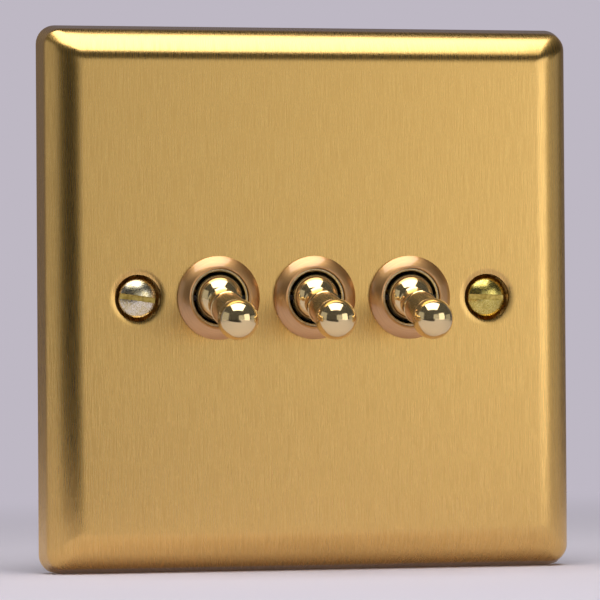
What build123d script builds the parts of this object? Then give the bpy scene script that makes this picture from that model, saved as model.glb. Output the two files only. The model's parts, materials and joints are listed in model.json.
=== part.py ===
"""Three-gang toggle light switch on a brass plate with rolled edges.

Millimetres, +Z up, +X to the right, +Y into the wall. The origin is the centre of the plate's rear
rim, where it meets the wall, so the front face looks along -Y. All three levers are thrown down.
"""

import os
from math import acos, asin, atan2, cos, hypot, radians, sin, sqrt, tan

from build123d import *

# Front plate: a pressed sheet whose edge rolls over into a flared rim
plate_size = 91.8
plate_depth = 7.4
sheet_thickness = 1.0
bevel_width = 2.74
rim_depth = 4.13
rim_flare = 0.88
rim_corner_radius = 3.2
shoulder_corner_radius = 3.15
face_corner_radius = 3.05
face_roll = 6.0
shoulder_roll = 2.5

# Fixing screws: raised countersunk heads seated in pressed dimples
fixing_centres = 60.3
fixing_thread = 3.5
fixing_length = 25.0
fixing_plain = 6.0
fixing_neck = 3.1
fixing_head = 6.4
fixing_dome = 0.9
fixing_sink = 0.6
fixing_clearance = 0.3
dimple_lip = 1.6
dimple_foot = 0.5
slot_width = 0.9
slot_depth = 1.2
slot_turn_left = 8.0
slot_turn_right = 2.0

# Lever, turned from bar: ball, neck, waist, dome and bored tail
throw_angle = 14.0
pivot_rise = 0.3
lever_reach = 15.45
ball_diameter = 6.8
neck_diameter = 5.6
neck_start = 5.6
waist_diameter = 4.0
dome_mouth = 4.9
dome_radius = 4.0
tail_length = 8.0
tail_wall = 1.1
pin_diameter = 1.2
pin_inset = 0.15
running_clearance = 0.04

# Plunger and spring in the lever's tail
plunger_diameter = 2.9
plunger_clearance = 0.05
plunger_stand = 3.0
tip_radius = 1.0
tip_gap = 0.12
spring_room = 2.8
bore_floor = 2.6
spring_wire = 0.4
spring_turns = 3

# Threaded bush, collar, lock washer and back nut
dome_clearance = 0.45
bush_wall = 0.45
collar_width = 2.1
collar_height = 1.8
collar_edge = 0.5
collar_lip = 0.35
collar_bulge = 0.3
collar_gap = 2.5
bush_recess = 0.6
thread_clearance = 0.02
hole_clearance = 0.1
washer_thickness = 0.5
washer_width = 2.2
washer_teeth = 8
washer_tooth_depth = 0.9
washer_tooth_gap = 0.8
nut_thickness = 2.0
nut_across_flats = 14.0
flange_thickness = 1.0
flange_width = 1.4

# Mounting strap with the earth tab, and the earth terminal
strap_thickness = 1.0
strap_height = 22.0
strap_end = 8.0
strap_corner = 2.0
earth_tab_width = 7.0
earth_tab_drop = 8.5
earth_tab_rise = 10.0
earth_block_height = 6.5
earth_block_depth = 7.0
earth_entry = 3.6

# Rocker, the see-saw that carries the moving contacts
rocker_share = 0.5
rocker_width = 4.0
rocker_seat = 1.1
rocker_back = 0.5
dish_reach = 3.2
arm_start = 5.0
arm_front = 0.7
arm_back = 0.2
arm_overhang = 1.6
trunnion_diameter = 1.6
trunnion_length = 1.3
contact_reach = 7.0
contact_diameter = 2.6
contact_height = 0.5
contact_gap = 0.08

# Terminals: folded strips that end in wire cages
strip_thickness = 0.8
ear_gap = 0.3
ear_height = 0.9
ear_width = 3.2
strip_side = 1.6
com_tail_width = 2.4
cage_width = 5.4
cage_height = 4.8
cage_depth = 6.2
cage_wall = 1.0
cage_gap = 1.6
cage_roof = 1.6
terminal_thread = 3.0
terminal_head = 4.6
terminal_head_height = 1.6
terminal_lift = 0.3
driver_slot = 0.7

# Moulded case and the folded steel frame that closes it
module_gap = 0.5
case_wall = 1.1
chamber_clearance = 0.9
end_wall = 0.9
pocket_clearance = 0.1
head_clearance = 0.25
case_lip = 0.2
case_corner = 0.8
frame_thickness = 1.0
frame_inset = 0.2
leg_width = 9.0
leg_length = 6.5
leg_window_width = 4.0
leg_window_height = 2.0
nib_clearance = 0.15
nib_proud = 0.6
frame_bend = 0.8

# Stack of depths, from the front face back
face_y = -plate_depth
strap_y = face_y + sheet_thickness
washer_y = strap_y + strap_thickness
nut_y = washer_y + washer_thickness
frame_y = nut_y + nut_thickness
case_y = frame_y + frame_thickness
pivot_y = face_y - pivot_rise

# Diameters that follow from the lever's dome outwards, and the pitch of the gangs
bush_bore_radius = dome_radius + dome_clearance
bush_radius = bush_bore_radius + bush_wall
thread_radius = bush_radius + thread_clearance
hole_radius = bush_radius + hole_clearance
collar_radius = bush_radius + collar_width
gang_pitch = 2 * collar_radius + collar_gap
module_width = gang_pitch - module_gap

# Mechanism behind the lever: where the plunger's tip runs and the rocker pivots
bore_radius = plunger_diameter / 2 + plunger_clearance
tail_radius = bore_radius + tail_wall
tip_reach = tail_length + plunger_stand
rocker_y = pivot_y + tip_reach + tip_radius + tip_gap + rocker_seat
tip_angle = throw_angle * rocker_share
contact_radius = contact_diameter / 2

# Depth of the fixed contacts, touched by the tipped rocker's outer edge, and of the case floor
button_y = (
    rocker_y
    + (arm_back + contact_height) * cos(radians(tip_angle))
    + (contact_reach + contact_radius) * sin(radians(tip_angle))
    + contact_gap
)
strip_y = button_y + contact_height
floor_y = strip_y + strip_thickness

# Case outline and the terminal cages at its ends
chamber_half_width = module_width / 2 - case_wall
chamber_half_height = contact_reach + contact_radius + chamber_clearance
cage_end = chamber_half_height + cage_height
case_half_height = cage_end + pocket_clearance + end_wall
cage_offset = (cage_width + cage_gap) / 2
cage_back_y = strip_y + cage_depth
screw_y = cage_back_y + terminal_lift
case_back_y = screw_y + terminal_head_height + case_lip

# Gang places, left to right as seen from the front
gangs = {"left": -gang_pitch, "middle": 0.0, "right": gang_pitch}


def slab(x0, x1, y0, y1, z0, z1):
    """Block between two corners."""
    centre = Pos((x0 + x1) / 2, (y0 + y1) / 2, (z0 + z1) / 2)
    return centre * Box(x1 - x0, y1 - y0, z1 - z0)


def rod(radius, y0, y1, x=0.0, z=0.0):
    """Round bar along Y between two depths."""
    return Pos(x, (y0 + y1) / 2, z) * Rot(X=90) * Cylinder(radius, y1 - y0)


def cross_rod(radius, x0, x1, y=0.0, z=0.0):
    """Round bar along X."""
    return Pos((x0 + x1) / 2, y, z) * Rot(Y=90) * Cylinder(radius, x1 - x0)


def turned(*edges):
    """Solid of revolution about Y; the closed profile is drawn as (radius, depth)."""
    return revolve(make_face(edges), Axis.Y)


def turned_outline(*points):
    """Solid of revolution about Y from a straight-sided profile of (radius, depth) points."""
    return turned(*Polyline(*points, close=True).edges())


def side_profile(face, width):
    """Extrude a profile drawn on the YZ plane evenly to both sides in X."""
    return extrude(face, width / 2, both=True)


def front_view(y):
    """Plane at a depth, looked at from the front: its x is X and its y is Z."""
    return Plane(origin=(0, y, 0), x_dir=(1, 0, 0), z_dir=(0, -1, 0))


def plate_section(half, radius, y):
    """Rounded square of the plate at one depth."""
    return front_view(y) * RectangleRounded(2 * half, 2 * half, radius)


def rolled_block(levels, face_radius, shoulder_radius):
    """Solid through rounded squares, rim first, with its shoulder and face edges rolled over."""
    block = loft([plate_section(*level) for level in levels], ruled=True)
    block = fillet(block.edges().group_by(Axis.Y)[0], face_radius)
    depth, near = levels[1][2], shoulder_radius / 10
    shoulder = block.edges().filter_by_position(Axis.Y, depth - near, depth + near)
    return fillet(shoulder, shoulder_radius)


def dished_plate():
    """Pressed square dish: flat face, rolled edge and flared rim at an even sheet thickness."""
    rim_half = plate_size / 2
    shoulder_half = rim_half - rim_flare
    face_half = shoulder_half - bevel_width
    outer = [
        (rim_half, rim_corner_radius, 0),
        (shoulder_half, shoulder_corner_radius, -rim_depth),
        (face_half, face_corner_radius, face_y),
    ]

    # The inside follows the outside at one sheet thickness, measured square to each slope
    wall = sheet_thickness
    bevel_angle = atan2(plate_depth - rim_depth, bevel_width)
    rim_angle = atan2(rim_depth, rim_flare)
    shift = wall * tan((rim_angle - bevel_angle) / 2)
    inner_shoulder_half = shoulder_half - wall * sin(bevel_angle) - shift * cos(bevel_angle)
    inner_shoulder_y = -rim_depth + wall * cos(bevel_angle) - shift * sin(bevel_angle)
    tighter = wall / 2
    inner = [
        (rim_half - wall / sin(rim_angle), rim_corner_radius - tighter, 0),
        (inner_shoulder_half, shoulder_corner_radius - tighter, inner_shoulder_y),
        (face_half - wall * tan(bevel_angle / 2), face_corner_radius - tighter, strap_y),
    ]
    hollow = rolled_block(inner, face_roll - wall, shoulder_roll - wall)
    return rolled_block(outer, face_roll, shoulder_roll) - hollow


def screw_dimple():
    """Pressed cup for a countersunk head: rounded lip, cone and plain hole, one sheet thick.

    The profile is taken about the screw's axis, with depth measured from the plate's face.
    """
    hole = fixing_thread / 2 + fixing_clearance
    cone = fixing_head / 2 + fixing_sink + thread_clearance
    half_turn = radians(45 / 2)
    run = dimple_lip * tan(half_turn)
    mouth = cone + run
    diagonal = sqrt(0.5)
    back_lip = dimple_lip - sheet_thickness
    lip_end = (cone - run * diagonal, run * diagonal)
    back_end = (lip_end[0] + sheet_thickness * diagonal, lip_end[1] + sheet_thickness * diagonal)
    lip_mid = (mouth - dimple_lip * sin(half_turn), dimple_lip - dimple_lip * cos(half_turn))
    back_mid = (mouth - back_lip * sin(half_turn), dimple_lip - back_lip * cos(half_turn))
    hole_top = (hole, cone - hole)
    foot = cone - hole + dimple_foot
    foot_edge = (back_end[0] - (foot - back_end[1]), foot)
    cup = turned(
        ThreePointArc((mouth, 0), lip_mid, lip_end),
        Line(lip_end, hole_top),
        Line(hole_top, (hole, foot)),
        Line((hole, foot), foot_edge),
        Line(foot_edge, back_end),
        ThreePointArc(back_end, back_mid, (mouth, sheet_thickness)),
        Line((mouth, sheet_thickness), (mouth, 0)),
    )
    return Pos(0, face_y, 0) * cup, mouth


def front_plate():
    """Plate with its three bush holes and two pressed screw dimples."""
    plate = dished_plate()
    for x in gangs.values():
        plate -= rod(hole_radius, face_y - sheet_thickness, strap_y + sheet_thickness, x)
    cup, mouth = screw_dimple()
    for x in (-fixing_centres / 2, fixing_centres / 2):
        plate -= rod(mouth, face_y - sheet_thickness, strap_y + sheet_thickness, x)
        plate += Pos(x, 0, 0) * cup
    return plate


def fixing_screw(slot_turn):
    """Raised countersunk machine screw with a straight slot turned about its axis."""
    head = fixing_head / 2
    neck = fixing_neck / 2
    shank = fixing_thread / 2
    rim_y = face_y + fixing_sink
    thread_y = rim_y + fixing_plain
    crown_y = rim_y - fixing_dome
    dome_ball = (head**2 + fixing_dome**2) / (2 * fixing_dome)
    half = asin(head / dome_ball) / 2
    dome_mid = (dome_ball * sin(half), crown_y + dome_ball * (1 - cos(half)))
    tip_y = rim_y + fixing_length
    point = fixing_thread / 6
    outline = [
        (head, rim_y),
        (neck, rim_y + head - neck),
        (neck, thread_y),
        (shank, thread_y + shank - neck),
        (shank, tip_y - point),
        (shank - point, tip_y),
        (0, tip_y),
        (0, crown_y),
    ]
    screw = turned(ThreePointArc((0, crown_y), dome_mid, (head, rim_y)), *Polyline(*outline).edges())
    slot = slab(-head, head, crown_y, crown_y + slot_depth, -slot_width / 2, slot_width / 2)
    return screw - Rot(Y=slot_turn) * slot


def fixing_screws():
    """The pair of screws, each with its slot as it was left."""
    left = Pos(-fixing_centres / 2, 0, 0) * fixing_screw(slot_turn_left)
    right = Pos(fixing_centres / 2, 0, 0) * fixing_screw(slot_turn_right)
    return Compound(children=[left, right])


def slotted_screw(thread, head, head_height, length):
    """Cheese-head screw pointing along -Y, with its head's underside at the origin."""
    screw = rod(head / 2, 0, head_height) + rod(thread / 2, -length, 0)
    slot = slab(-head, head, head_height / 2, head_height, -driver_slot / 2, driver_slot / 2)
    return screw - slot


def collar():
    """Domed dress nut: short upright edge, rounded shoulder and a narrow flat lip at its bore."""
    lip_radius = thread_radius + collar_lip
    top_y = face_y - collar_height
    edge_y = face_y - collar_edge
    run = collar_radius - lip_radius
    rise = edge_y - top_y
    slope = hypot(run, rise)
    crown = (
        (collar_radius + lip_radius) / 2 + collar_bulge * rise / slope,
        (edge_y + top_y) / 2 - collar_bulge * run / slope,
    )
    return turned(
        Line((thread_radius, face_y), (collar_radius, face_y)),
        Line((collar_radius, face_y), (collar_radius, edge_y)),
        ThreePointArc((collar_radius, edge_y), crown, (lip_radius, top_y)),
        Line((lip_radius, top_y), (thread_radius, top_y)),
        Line((thread_radius, top_y), (thread_radius, face_y)),
    )


def bush():
    """Threaded sleeve with a flange that the frame is clamped on, and a cross hole for the pin."""
    front_y = face_y - collar_height + bush_recess
    sleeve = turned_outline(
        (bush_bore_radius, front_y),
        (bush_radius, front_y),
        (bush_radius, case_y),
        (bush_radius + flange_width, case_y),
        (bush_radius + flange_width, case_y + flange_thickness),
        (bush_bore_radius, case_y + flange_thickness),
    )
    return sleeve - cross_rod(pin_diameter / 2, -bush_radius, bush_radius, pivot_y)


def lock_washer():
    """Internal-tooth washer between the strap and the back nut."""
    ring = rod(thread_radius + washer_width, washer_y, nut_y) - rod(thread_radius, washer_y, nut_y)
    notch = slab(
        -washer_tooth_gap / 2, washer_tooth_gap / 2, washer_y, nut_y, 0, thread_radius + washer_tooth_depth
    )
    step = 360 / washer_teeth
    for tooth in range(washer_teeth):
        ring -= Rot(Y=tooth * step) * notch
    return ring


def back_nut():
    """Hexagon nut that fills the height between the lock washer and the frame."""
    hexagon = RegularPolygon(nut_across_flats / 2, 6, major_radius=False)
    return extrude(front_view(frame_y) * hexagon, nut_thickness) - rod(thread_radius, nut_y, frame_y)


def lever():
    """Dolly about its pivot: ball, neck with a crisp rear edge, waist, dome, taper and bored tail."""
    ball = ball_diameter / 2
    neck = neck_diameter / 2
    mouth = dome_mouth / 2
    ball_foot = lever_reach - sqrt(ball**2 - neck**2)
    dome_half = acos(mouth / dome_radius) / 2
    dome_mid = (dome_radius * cos(dome_half), -dome_radius * sin(dome_half))
    mouth_y = -sqrt(dome_radius**2 - mouth**2)
    taper_y = sqrt(dome_radius**2 - tail_radius**2)
    waist_mid = (waist_diameter / 2, (mouth_y - neck_start) / 2)
    body = turned(
        ThreePointArc((0, -lever_reach - ball), (ball, -lever_reach), (neck, -ball_foot)),
        Line((neck, -ball_foot), (neck, -neck_start)),
        ThreePointArc((neck, -neck_start), waist_mid, (mouth, mouth_y)),
        ThreePointArc((mouth, mouth_y), dome_mid, (dome_radius, 0)),
        Line((dome_radius, 0), (tail_radius, taper_y)),
        Line((tail_radius, taper_y), (tail_radius, tail_length)),
        Line((tail_radius, tail_length), (bore_radius, tail_length)),
        Line((bore_radius, tail_length), (bore_radius, bore_floor)),
        Line((bore_radius, bore_floor), (0, bore_floor)),
        Line((0, bore_floor), (0, -lever_reach - ball)),
    )
    return body - cross_rod(pin_diameter / 2 + running_clearance, -dome_radius, dome_radius)


def pivot_pin():
    """Pin across the bush that the lever turns on, its ends just under the thread."""
    half = bush_radius - pin_inset
    return cross_rod(pin_diameter / 2, -half, half, pivot_y)


def plunger():
    """Round-nosed plunger in the lever's tail, measured from the lever's pivot."""
    body = plunger_diameter / 2
    seat = bore_floor + spring_room
    nose = (tip_radius * sin(radians(45)), tip_reach + tip_radius * cos(radians(45)))
    shoulder = tip_reach - (body - tip_radius)
    return turned(
        ThreePointArc((0, tip_reach + tip_radius), nose, (tip_radius, tip_reach)),
        Line((tip_radius, tip_reach), (body, shoulder)),
        Line((body, shoulder), (body, seat)),
        Line((body, seat), (0, seat)),
        Line((0, seat), (0, tip_reach + tip_radius)),
    )


def plunger_spring():
    """Flat-wire compression spring between the bore's floor and the plunger."""
    coil_radius = plunger_diameter / 2 - spring_wire
    height = spring_room - spring_wire
    coil = Helix(height / spring_turns, height, coil_radius)
    wire = Plane(origin=coil @ 0, z_dir=coil % 0) * Rectangle(spring_wire, spring_wire)
    spring = sweep(wire, path=coil, is_frenet=True)
    return Pos(0, bore_floor + spring_wire / 2, 0) * Rot(X=-90) * spring


def on_lever(shape, x):
    """Tip a shape drawn about the lever's pivot to the thrown-down rest, at one gang."""
    return Pos(x, pivot_y, 0) * Rot(X=throw_angle) * shape


def on_rocker(shape, x):
    """Tip a shape drawn about the rocker's pivot to rest, its upper arm against L1."""
    return Pos(x, rocker_y, 0) * Rot(X=-tip_angle) * shape


def dish_radius():
    """Radius of the rocker's dish, on which the plunger's tip keeps an even gap over its throw.

    In the rocker's own frame the tip's centre runs on an arc; the dish is that arc moved out by
    the tip's radius and the gap.
    """
    centre_y = tip_reach * cos(radians(throw_angle)) - (rocker_y - pivot_y)
    centre_z = tip_reach * sin(radians(throw_angle))
    far_y = centre_y * cos(radians(tip_angle)) - centre_z * sin(radians(tip_angle))
    far_z = centre_y * sin(radians(tip_angle)) + centre_z * cos(radians(tip_angle))
    mid_y = tip_reach - (rocker_y - pivot_y)
    drop = mid_y - far_y
    path_radius = (far_z**2 + drop**2) / (2 * drop)
    return path_radius + tip_radius + tip_gap


def rocker():
    """See-saw contact carrier: dished saddle, two cranked arms and trunnions on its pivot axis."""
    radius = dish_radius()
    dish_edge = -rocker_seat - radius + sqrt(radius**2 - dish_reach**2)
    arm_end = contact_reach + arm_overhang
    front = [
        (-arm_front, arm_end),
        (-arm_front, arm_start),
        (dish_edge, dish_reach),
    ]
    back = [
        (arm_back, -arm_end),
        (arm_back, -arm_start),
        (rocker_back, -dish_reach),
        (rocker_back, dish_reach),
        (arm_back, arm_start),
        (arm_back, arm_end),
    ]
    mirrored = [(y, -z) for y, z in reversed(front)]
    profile = [
        *Polyline(*front).edges(),
        ThreePointArc((dish_edge, dish_reach), (-rocker_seat, 0), (dish_edge, -dish_reach)),
        *Polyline(*mirrored, *back, front[0]).edges(),
    ]
    body = side_profile(Plane.YZ * make_face(profile), rocker_width)
    reach = rocker_width / 2 + trunnion_length
    return body + cross_rod(trunnion_diameter / 2, -reach, reach)


def moving_contacts():
    """The two buttons on the backs of the rocker's arms."""
    top = arm_back + contact_height
    return [rod(contact_radius, arm_back, top, 0, z) for z in (contact_reach, -contact_reach)]


def fixed_contacts(x):
    """The two buttons on the L1 and L2 strips."""
    buttons = [rod(contact_radius, button_y, strip_y, x, z) for z in (contact_reach, -contact_reach)]
    return Compound(children=buttons)


def cage(x, side):
    """Wire cage at one end of the case; side is +1 at the top and -1 at the bottom."""
    ends = sorted((side * chamber_half_height, side * cage_end))
    half = cage_width / 2
    block = slab(x - half, x + half, strip_y, cage_back_y, *ends)
    tunnel = slab(
        x - half + cage_wall, x + half - cage_wall, floor_y, cage_back_y - cage_roof, *ends
    )
    thread = rod(terminal_thread / 2, cage_back_y - cage_roof, cage_back_y, x, sum(ends) / 2)
    return block - tunnel - thread


def contact_foot():
    """Half height of a strip where it carries a contact button."""
    return contact_radius + (strip_thickness - contact_height)


def l1_terminal(x):
    """Upper left terminal: its strip crosses to the upper contact."""
    foot = contact_foot()
    across = slab(
        x - cage_offset - cage_width / 2, x + strip_side, strip_y, floor_y,
        contact_reach - foot, contact_reach + foot,
    )
    neck = slab(
        x - cage_offset - cage_width / 2, x - cage_offset + cage_width / 2, strip_y, floor_y,
        contact_reach, chamber_half_height,
    )
    return across + neck + cage(x - cage_offset, 1)


def l2_terminal(x):
    """Lower terminal: its strip runs straight to the lower contact."""
    foot = contact_foot()
    run = slab(
        x - strip_side, x + strip_side, strip_y, floor_y, -chamber_half_height, foot - contact_reach
    )
    return run + cage(x, -1)


def com_terminal(x):
    """Upper right terminal: its strip runs down to a bracket whose two ears carry the rocker."""
    inner = rocker_width / 2 + ear_gap
    outer = inner + strip_thickness
    tail_side = cage_offset + cage_width / 2
    half = ear_width / 2
    bridge = slab(x - outer, x + tail_side, strip_y, floor_y, -half, half)
    tail = slab(
        x + tail_side - com_tail_width, x + tail_side, strip_y, floor_y, half, chamber_half_height
    )
    bracket = bridge + tail + cage(x + cage_offset, 1)
    front_y = rocker_y - ear_height
    for low, high in ((-outer, -inner), (inner, outer)):
        bracket += slab(x + low, x + high, front_y, strip_y, -half, half)
    notch = trunnion_diameter / 2 + running_clearance
    bracket -= cross_rod(notch, x - outer, x + outer, rocker_y)
    return bracket - slab(x - outer, x + outer, front_y, rocker_y, -notch, notch)


def terminal_places(x):
    """Centres in X and Z of the common, L1 and L2 wire cages of a gang."""
    middle = (chamber_half_height + cage_end) / 2
    return [(x + cage_offset, middle), (x - cage_offset, middle), (x, -middle)]


def terminal_screws(x):
    """The three clamp screws of a gang, backed out so that the cages are open."""
    screw = slotted_screw(
        terminal_thread, terminal_head, terminal_head_height, cage_roof + terminal_lift
    )
    screws = [Pos(place, screw_y, z) * screw for place, z in terminal_places(x)]
    return Compound(children=screws)


def case(x):
    """Moulded case: contact chamber open to the front, terminal pockets, wire entries, screw wells."""
    half_width = module_width / 2
    block = slab(x - half_width, x + half_width, case_y, case_back_y, -case_half_height, case_half_height)
    block = fillet(block.edges().filter_by(Axis.Y), case_corner)
    block -= slab(
        x - chamber_half_width, x + chamber_half_width, case_y, floor_y,
        -chamber_half_height, chamber_half_height,
    )
    pocket = cage_width / 2 + pocket_clearance
    entry = cage_width / 2 - cage_wall
    well = terminal_head / 2 + head_clearance
    entry_back_y = cage_back_y - cage_roof
    for place, z in terminal_places(x):
        side = 1 if z > 0 else -1
        inner = side * chamber_half_height
        ends = sorted((inner, side * (cage_end + pocket_clearance)))
        block -= slab(place - pocket, place + pocket, strip_y, cage_back_y, *ends)
        outer = sorted((inner, side * case_half_height))
        block -= slab(place - entry, place + entry, floor_y, entry_back_y, *outer)
        block -= rod(well, cage_back_y, case_back_y, place, z)
        block += nib(x, side)
    return block


def nib(x, side):
    """Snap nib on an end wall of the case, which stands in the window of the frame's leg."""
    half = leg_window_width / 2 - nib_clearance
    centre = case_y + leg_length / 2
    depth = leg_window_height / 2 - nib_clearance
    ends = sorted((side * case_half_height, side * (case_half_height + nib_proud)))
    return slab(x - half, x + half, centre - depth, centre + depth, *ends)


def frame(x):
    """Folded saddle that closes the case: bored top plate and two legs with snap windows."""
    half_width = module_width / 2 - frame_inset
    outer = case_half_height + frame_thickness
    top = slab(x - half_width, x + half_width, frame_y, case_y, -outer, outer)
    saddle = top
    for side in (1, -1):
        ends = sorted((side * case_half_height, side * outer))
        saddle += slab(x - leg_width / 2, x + leg_width / 2, case_y, case_y + leg_length, *ends)
    bends = saddle.edges().filter_by(Axis.X).group_by(Axis.Y)[0]
    saddle = fillet(bends, min(frame_bend, frame_thickness * 0.9))
    centre = case_y + leg_length / 2
    window = slab(
        x - leg_window_width / 2, x + leg_window_width / 2,
        centre - leg_window_height / 2, centre + leg_window_height / 2, -outer, outer,
    )
    return saddle - window - rod(thread_radius, frame_y, case_y, x)


def mounting_strap():
    """Flat strap under the back nuts, with a tab folded back for the earth terminal."""
    half_length = gang_pitch + strap_end
    blank = front_view(washer_y) * RectangleRounded(2 * half_length, strap_height, strap_corner)
    plate = extrude(blank, strap_thickness)
    for x in gangs.values():
        plate -= rod(hole_radius, strap_y, washer_y, x)
    half = earth_tab_width / 2
    tab_end = strap_height / 2 + earth_tab_drop
    tab = slab(-half, half, strap_y, washer_y, -tab_end, -strap_height / 2)
    upright = slab(-half, half, strap_y, strap_y + earth_tab_rise, -tab_end - strap_thickness, -tab_end)
    return plate + tab + upright


def earth_place():
    """Top of the earth block in Z, its rear in Y, and the middle of its height."""
    top = -(strap_height / 2 + earth_tab_drop + strap_thickness)
    back = strap_y + earth_tab_rise
    return top, back, top - earth_block_height / 2


def earth_terminal():
    """Brass block on the earth tab, with a square wire entry across it and a tapped hole behind."""
    top, back, middle = earth_place()
    half = earth_tab_width / 2
    block = slab(-half, half, back - earth_block_depth, back, top - earth_block_height, top)
    roof = back - cage_roof
    entry = slab(-half, half, roof - earth_entry, roof, middle - earth_entry / 2, middle + earth_entry / 2)
    return block - entry - rod(fixing_thread / 2, roof, back, 0, middle)


def earth_screw():
    """Clamp screw of the earth terminal."""
    top, back, middle = earth_place()
    screw = slotted_screw(fixing_thread, fixing_head, terminal_head_height, cage_roof + terminal_lift)
    return Pos(0, back + terminal_lift, middle) * screw


def gang_parts(name, x):
    """All the pieces of one gang, by node name."""
    pieces = {
        "collar": Pos(x, 0, 0) * collar(),
        "bush": Pos(x, 0, 0) * bush(),
        "lock_washer": Pos(x, 0, 0) * lock_washer(),
        "back_nut": Pos(x, 0, 0) * back_nut(),
        "lever": on_lever(lever(), x),
        "pivot_pin": Pos(x, 0, 0) * pivot_pin(),
        "plunger": on_lever(plunger(), x),
        "plunger_spring": on_lever(plunger_spring(), x),
        "rocker": on_rocker(rocker(), x),
        "moving_contacts": Compound(children=[on_rocker(button, x) for button in moving_contacts()]),
        "frame": frame(x),
        "case": case(x),
        "com_terminal": com_terminal(x),
        "l1_terminal": l1_terminal(x),
        "l2_terminal": l2_terminal(x),
        "fixed_contacts": fixed_contacts(x),
        "terminal_screws": terminal_screws(x),
    }
    return {f"{piece}_{name}": shape for piece, shape in pieces.items()}


def all_parts():
    """Every node of the switch."""
    nodes = {
        "front_plate": front_plate(),
        "mounting_strap": mounting_strap(),
        "earth_terminal": earth_terminal(),
        "earth_screw": earth_screw(),
        "fixing_screws": fixing_screws(),
    }
    for name, x in gangs.items():
        nodes.update(gang_parts(name, x))
    return nodes


os.makedirs("parts", exist_ok=True)
for node, shape in all_parts().items():
    export_step(shape, f"parts/{node}.step")
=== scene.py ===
"""Three-gang toggle light switch in brushed brass: its dressed pieces, the studio and the camera.

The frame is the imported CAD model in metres: +Z is up, +X is right seen from the front and +Y goes
into the wall. Sizes below are written in millimetres, and MM turns them into metres.
"""

import json
import logging
from dataclasses import dataclass, field
from enum import Enum
from math import acos, asin, atan2, cos, degrees, hypot, pi, radians, sin, sqrt, tan
from typing import Any, Iterable, Sequence

import bmesh
import bpy
import numpy as np
from mathutils import Matrix, Vector

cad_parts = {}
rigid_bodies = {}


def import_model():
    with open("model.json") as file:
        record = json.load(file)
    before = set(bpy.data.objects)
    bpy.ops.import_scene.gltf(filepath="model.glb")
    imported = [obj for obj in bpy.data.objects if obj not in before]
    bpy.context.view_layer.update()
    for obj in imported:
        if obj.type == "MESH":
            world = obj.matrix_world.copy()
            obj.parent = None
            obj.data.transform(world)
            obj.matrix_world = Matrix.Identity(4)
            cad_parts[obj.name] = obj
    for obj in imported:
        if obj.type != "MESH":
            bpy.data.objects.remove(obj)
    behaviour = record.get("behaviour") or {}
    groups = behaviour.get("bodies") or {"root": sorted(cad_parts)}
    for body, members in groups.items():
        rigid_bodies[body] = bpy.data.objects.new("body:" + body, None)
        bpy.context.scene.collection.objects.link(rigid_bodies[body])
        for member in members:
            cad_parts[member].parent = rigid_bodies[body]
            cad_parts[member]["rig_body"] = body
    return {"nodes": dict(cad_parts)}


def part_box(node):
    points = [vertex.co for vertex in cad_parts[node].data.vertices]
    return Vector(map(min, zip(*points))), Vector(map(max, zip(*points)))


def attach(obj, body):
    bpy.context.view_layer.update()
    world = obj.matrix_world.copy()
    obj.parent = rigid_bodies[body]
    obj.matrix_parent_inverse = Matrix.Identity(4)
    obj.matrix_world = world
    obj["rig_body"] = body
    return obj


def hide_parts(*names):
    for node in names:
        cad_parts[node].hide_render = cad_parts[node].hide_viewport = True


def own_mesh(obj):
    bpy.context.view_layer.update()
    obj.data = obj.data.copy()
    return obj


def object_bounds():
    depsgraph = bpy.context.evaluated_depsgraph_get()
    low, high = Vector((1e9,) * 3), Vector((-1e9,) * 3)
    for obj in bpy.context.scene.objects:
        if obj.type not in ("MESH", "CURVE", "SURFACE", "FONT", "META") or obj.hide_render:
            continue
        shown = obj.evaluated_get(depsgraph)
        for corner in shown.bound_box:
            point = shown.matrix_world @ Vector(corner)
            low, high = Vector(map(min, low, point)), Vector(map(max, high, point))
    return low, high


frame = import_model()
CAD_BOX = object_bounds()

MM = 0.001
GANGS = ("left", "middle", "right")
# Radius of the fixing screws' heads, in mm
SCREW_HEAD = 3.2
# Steps round a turned piece, along one turn of a coil and round its wire
AROUND = 128
TURN_STEPS = 28
WIRE_STEPS = 12
# Settings that several nodes share
COLOURS = {"data_type": "RGBA"}
SMOOTH = {"interpolation_type": "SMOOTHSTEP"}
TIMES = {"operation": "MULTIPLY"}
LARGER = {"operation": "MAXIMUM"}
log = logging.getLogger("switch")


# Scene helpers


def linear(colour: str) -> tuple[float, float, float, float]:
    """Turns an sRGB hex colour into linear light.

    Args:
        colour: six hex digits after a hash.

    Returns:
        Linear red, green and blue, and an alpha of 1.
    """
    channels = [int(colour[i : i + 2], 16) / 255 for i in (1, 3, 5)]
    light = [c / 12.92 if c <= 0.04045 else ((c + 0.055) / 1.055) ** 2.4 for c in channels]
    return (light[0], light[1], light[2], 1.0)


def add_node(
    tree: bpy.types.NodeTree,
    kind: str,
    settings: dict[str, Any] | None = None,
    inputs: dict[str | int, Any] | None = None,
) -> bpy.types.Node:
    """Adds one node with its settings and links.

    Args:
        tree: node tree that gets the node.
        kind: Blender's name of the node type, after ShaderNode.
        settings: attributes of the node and their values.
        inputs: input sockets by name or index, each with a value, an output socket to link, or a
            node whose first output is linked.

    Returns:
        The new node.
    """
    node = tree.nodes.new(f"ShaderNode{kind}")
    for name, value in (settings or {}).items():
        setattr(node, name, value)
    for key, value in (inputs or {}).items():
        source = value.outputs[0] if isinstance(value, bpy.types.Node) else value
        if isinstance(source, bpy.types.NodeSocket):
            tree.links.new(source, node.inputs[key])
        else:
            node.inputs[key].default_value = source
    return node


def bare_tree(owner: bpy.types.Material | bpy.types.World) -> bpy.types.NodeTree:
    """Returns a material's or a world's node tree with nothing in it."""
    owner.use_nodes = True
    owner.node_tree.nodes.clear()
    return owner.node_tree


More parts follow.
